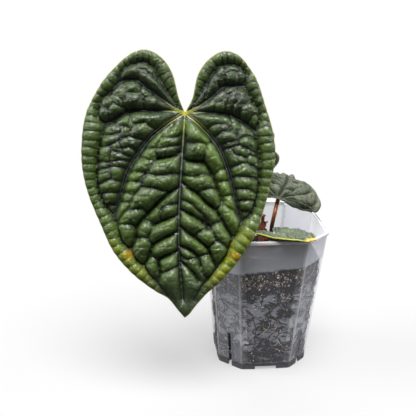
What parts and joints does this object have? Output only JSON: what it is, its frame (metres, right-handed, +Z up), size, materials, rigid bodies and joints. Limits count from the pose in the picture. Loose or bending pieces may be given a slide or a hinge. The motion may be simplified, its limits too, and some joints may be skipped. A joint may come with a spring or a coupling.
{
  "type": "potted anthurium plant",
  "caption": "Young anthurium in a frosted square nursery pot: a large blistered heart-shaped leaf hangs in front, small leaves stand behind, and dark bark mix shows through the wall.",
  "frame": {"origin": "middle of the pot's underside, on its centre foot", "axes": "+Z up, -Y out of the pot's front wall, +X to the right seen from the front"},
  "size_m": [0.2017, 0.1305, 0.2679],
  "materials": {
    "frosted_plastic": "frosted, see-through",
    "bark_mix": "loose and dark",
    "root": "matt",
    "leaf_green": "waxy, softly glossy",
    "leaf_grey_green": "dull",
    "petiole_green": "satin",
    "petiole_brown": "satin",
    "dry_sheath": "dry and papery"
  },
  "bodies": {
    "root": {"pot": "frosted_plastic", "growing_medium": "bark_mix", "stem_and_roots": "root", "blade_large": "leaf_green", "blade_right": "leaf_grey_green", "blade_front": "leaf_grey_green", "blade_rear": "leaf_grey_green", "petiole_large": "petiole_green", "petiole_right": "petiole_brown", "petiole_front": "petiole_brown", "petiole_rear": "petiole_brown", "cataphyll_tall": "dry_sheath", "cataphyll_short": "dry_sheath"}
  },
  "joints": []
}
